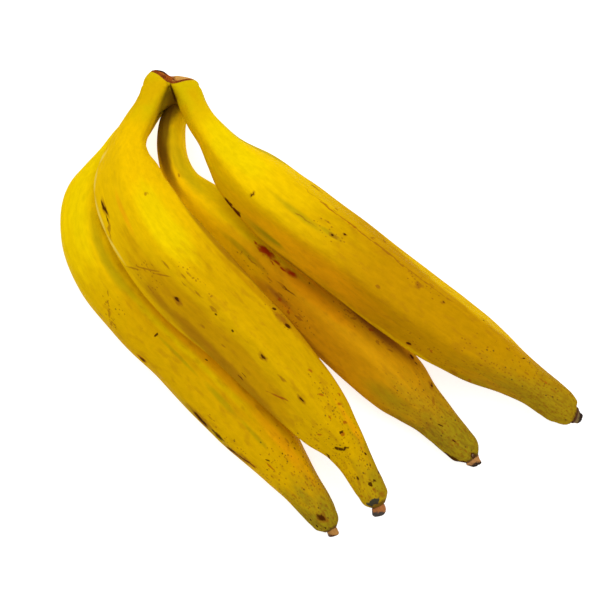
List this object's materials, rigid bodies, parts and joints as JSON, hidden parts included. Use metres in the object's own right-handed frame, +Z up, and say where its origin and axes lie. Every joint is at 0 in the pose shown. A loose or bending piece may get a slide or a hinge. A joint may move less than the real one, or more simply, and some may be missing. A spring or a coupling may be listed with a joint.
{
  "type": "plantain hand",
  "caption": "Hand of ripe yellow plantains joined at a small cut crown, lying on its side, with long angular curved fruits that taper to dried flower ends.",
  "frame": {"origin": "On the table, under the middle of the bounding box of the whole hand.", "axes": "+X runs from the crown toward the fruits' tips, +Y across the hand toward the right-hand fruit, +Z up."},
  "size_m": [0.305, 0.1542, 0.0823],
  "materials": {
    "peel": "smooth waxy yellow peel with olive ends and brown freckles",
    "crown": "dull, dried brown cut with a tan rim",
    "dried_flower": "dull, dry and wrinkled"
  },
  "bodies": {
    "root": {"crown": "crown", "fruit_outer_left": "peel", "fruit_front_left": "peel", "fruit_middle": "peel", "fruit_right": "peel", "flower_end_outer_left": "dried_flower", "flower_end_front_left": "dried_flower", "flower_end_middle": "dried_flower", "flower_end_right": "dried_flower"}
  },
  "joints": []
}
